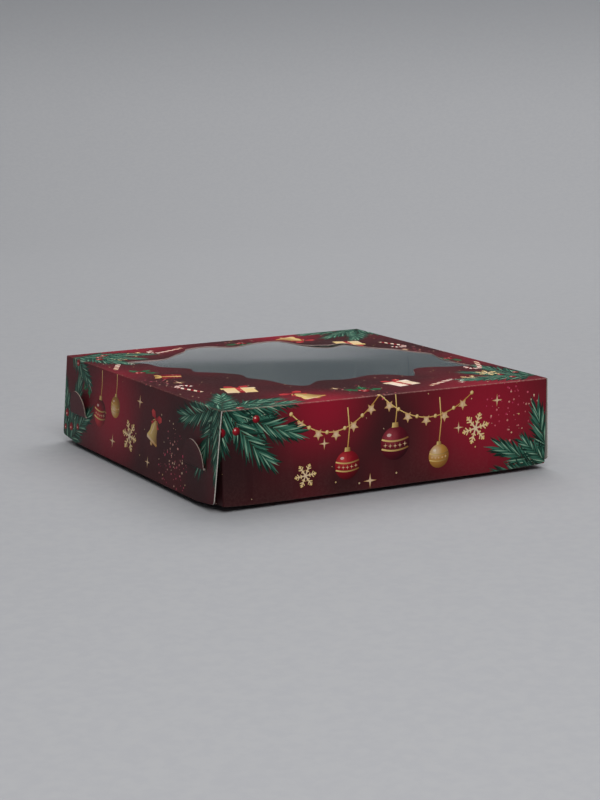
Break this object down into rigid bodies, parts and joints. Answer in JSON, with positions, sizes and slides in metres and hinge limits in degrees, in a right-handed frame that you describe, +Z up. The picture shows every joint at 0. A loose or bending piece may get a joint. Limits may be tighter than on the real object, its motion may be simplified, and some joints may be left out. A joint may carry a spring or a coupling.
{
  "type": "window candy box",
  "caption": "Low square folding carton for sweets, with a wavy film window in its printed top and tab-locked flaps at both ends.",
  "frame": {"origin": "middle of the underside of the box", "axes": "+Z up, front wall facing -Y, the two flap-closed ends facing -X and +X"},
  "size_m": [0.1528, 0.145, 0.035],
  "materials": {
    "printed_board": "satin",
    "bare_board": "matte",
    "clear_film": "gloss"
  },
  "bodies": {
    "sleeve": {"bottom_panel": "printed_board", "front_wall": "printed_board", "back_wall": "printed_board", "glue_flap": "bare_board", "top_panel": "printed_board", "window_film": "clear_film"},
    "left_outer_flap": {"left_outer_flap": "printed_board"},
    "left_inner_flap": {"left_inner_flap": "printed_board"},
    "left_front_dust_flap": {"left_front_dust_flap": "bare_board"},
    "left_front_lock_tab": {"left_front_lock_tab": "printed_board"},
    "left_back_dust_flap": {"left_back_dust_flap": "bare_board"},
    "left_back_lock_tab": {"left_back_lock_tab": "printed_board"},
    "right_outer_flap": {"right_outer_flap": "printed_board"},
    "right_inner_flap": {"right_inner_flap": "printed_board"},
    "right_front_dust_flap": {"right_front_dust_flap": "bare_board"},
    "right_front_lock_tab": {"right_front_lock_tab": "printed_board"},
    "right_back_dust_flap": {"right_back_dust_flap": "bare_board"},
    "right_back_lock_tab": {"right_back_lock_tab": "printed_board"}
  },
  "joints": [
    {"name": "left_outer_flap_hinge", "type": "hinge", "parent": "sleeve", "child": "left_outer_flap", "pos_m": [-0.0725, 0, 0.035], "axis": [0, 1, 0], "range_deg": [0, 110], "deforming": ["left_front_lock_tab", "left_back_lock_tab"]},
    {"name": "left_inner_flap_hinge", "type": "hinge", "parent": "sleeve", "child": "left_inner_flap", "pos_m": [-0.0727, 0, 0], "axis": [0, -1, 0], "range_deg": [0, 66]},
    {"name": "left_front_dust_flap_hinge", "type": "hinge", "parent": "sleeve", "child": "left_front_dust_flap", "pos_m": [-0.0715, -0.07205, 0.0175], "axis": [0, 0, -1], "range_deg": [0, 85]},
    {"name": "left_front_lock_tab_bend", "type": "hinge", "parent": "left_inner_flap", "child": "left_front_lock_tab", "pos_m": [-0.07422, -0.0551, 0.0123], "axis": [0, -1, 0], "range_deg": [-10, 30], "stiffness_Nm_per_rad": 0.0001},
    {"name": "left_back_dust_flap_hinge", "type": "hinge", "parent": "sleeve", "child": "left_back_dust_flap", "pos_m": [-0.0715, 0.07205, 0.0175], "axis": [0, 0, 1], "range_deg": [0, 85]},
    {"name": "left_back_lock_tab_bend", "type": "hinge", "parent": "left_inner_flap", "child": "left_back_lock_tab", "pos_m": [-0.07422, 0.0551, 0.0123], "axis": [0, -1, 0], "range_deg": [-10, 30], "stiffness_Nm_per_rad": 0.0001},
    {"name": "right_outer_flap_hinge", "type": "hinge", "parent": "sleeve", "child": "right_outer_flap", "pos_m": [0.0725, 0, 0.035], "axis": [0, -1, 0], "range_deg": [0, 110], "deforming": ["right_front_lock_tab", "right_back_lock_tab"]},
    {"name": "right_inner_flap_hinge", "type": "hinge", "parent": "sleeve", "child": "right_inner_flap", "pos_m": [0.0727, 0, 0], "axis": [0, 1, 0], "range_deg": [0, 66]},
    {"name": "right_front_dust_flap_hinge", "type": "hinge", "parent": "sleeve", "child": "right_front_dust_flap", "pos_m": [0.0715, -0.07205, 0.0175], "axis": [0, 0, 1], "range_deg": [0, 85]},
    {"name": "right_front_lock_tab_bend", "type": "hinge", "parent": "right_inner_flap", "child": "right_front_lock_tab", "pos_m": [0.07422, -0.0551, 0.0123], "axis": [0, 1, 0], "range_deg": [-10, 30], "stiffness_Nm_per_rad": 0.0001},
    {"name": "right_back_dust_flap_hinge", "type": "hinge", "parent": "sleeve", "child": "right_back_dust_flap", "pos_m": [0.0715, 0.07205, 0.0175], "axis": [0, 0, -1], "range_deg": [0, 85]},
    {"name": "right_back_lock_tab_bend", "type": "hinge", "parent": "right_inner_flap", "child": "right_back_lock_tab", "pos_m": [0.07422, 0.0551, 0.0123], "axis": [0, 1, 0], "range_deg": [-10, 30], "stiffness_Nm_per_rad": 0.0001}
  ],
  "couplings": [
    {"joint": "left_inner_flap_hinge", "follows": "left_outer_flap_hinge", "ratio": 0.6},
    {"joint": "right_inner_flap_hinge", "follows": "right_outer_flap_hinge", "ratio": 0.6}
  ]
}
